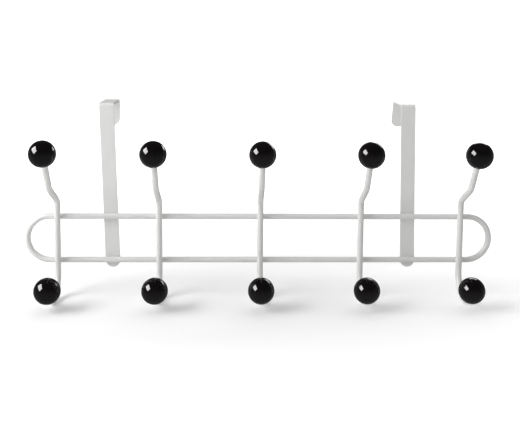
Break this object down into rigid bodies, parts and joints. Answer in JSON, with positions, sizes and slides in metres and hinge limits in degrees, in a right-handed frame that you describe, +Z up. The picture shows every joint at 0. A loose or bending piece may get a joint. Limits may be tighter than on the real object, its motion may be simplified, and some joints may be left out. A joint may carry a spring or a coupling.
{
  "type": "over-door hook rack",
  "caption": "Over-the-door rack: a welded wire loop carrying a row of double hooks with black ball ends, hung on two bent strip-steel door brackets.",
  "frame": {"origin": "middle of the door's top front edge, where the rack hangs: y = 0 is the door's face and z = 0 is the door's top", "axes": "+X to the right of a person facing the rack, along the rails; +Y into the door; +Z up"},
  "size_m": [0.4676, 0.1165, 0.1911],
  "materials": {
    "wire_powder_coat": "white powder coat, semi-gloss",
    "bracket_powder_coat": "white powder coat, semi-gloss",
    "black_ball": "polished black moulded plastic"
  },
  "bodies": {
    "root": {"wire_loop": "wire_powder_coat", "hook_1": "wire_powder_coat", "upper_ball_1": "black_ball", "lower_ball_1": "black_ball", "weld_hook_1_top": "wire_powder_coat", "weld_hook_1_bottom": "wire_powder_coat", "hook_2": "wire_powder_coat", "upper_ball_2": "black_ball", "lower_ball_2": "black_ball", "weld_hook_2_top": "wire_powder_coat", "weld_hook_2_bottom": "wire_powder_coat", "hook_3": "wire_powder_coat", "upper_ball_3": "black_ball", "lower_ball_3": "black_ball", "weld_hook_3_top": "wire_powder_coat", "weld_hook_3_bottom": "wire_powder_coat", "hook_4": "wire_powder_coat", "upper_ball_4": "black_ball", "lower_ball_4": "black_ball", "weld_hook_4_top": "wire_powder_coat", "weld_hook_4_bottom": "wire_powder_coat", "hook_5": "wire_powder_coat", "upper_ball_5": "black_ball", "lower_ball_5": "black_ball", "weld_hook_5_top": "wire_powder_coat", "weld_hook_5_bottom": "wire_powder_coat", "door_bracket_left": "bracket_powder_coat", "weld_bracket_left_top": "bracket_powder_coat", "weld_bracket_left_bottom": "bracket_powder_coat", "door_bracket_right": "bracket_powder_coat", "weld_bracket_right_top": "bracket_powder_coat", "weld_bracket_right_bottom": "bracket_powder_coat"}
  },
  "joints": []
}
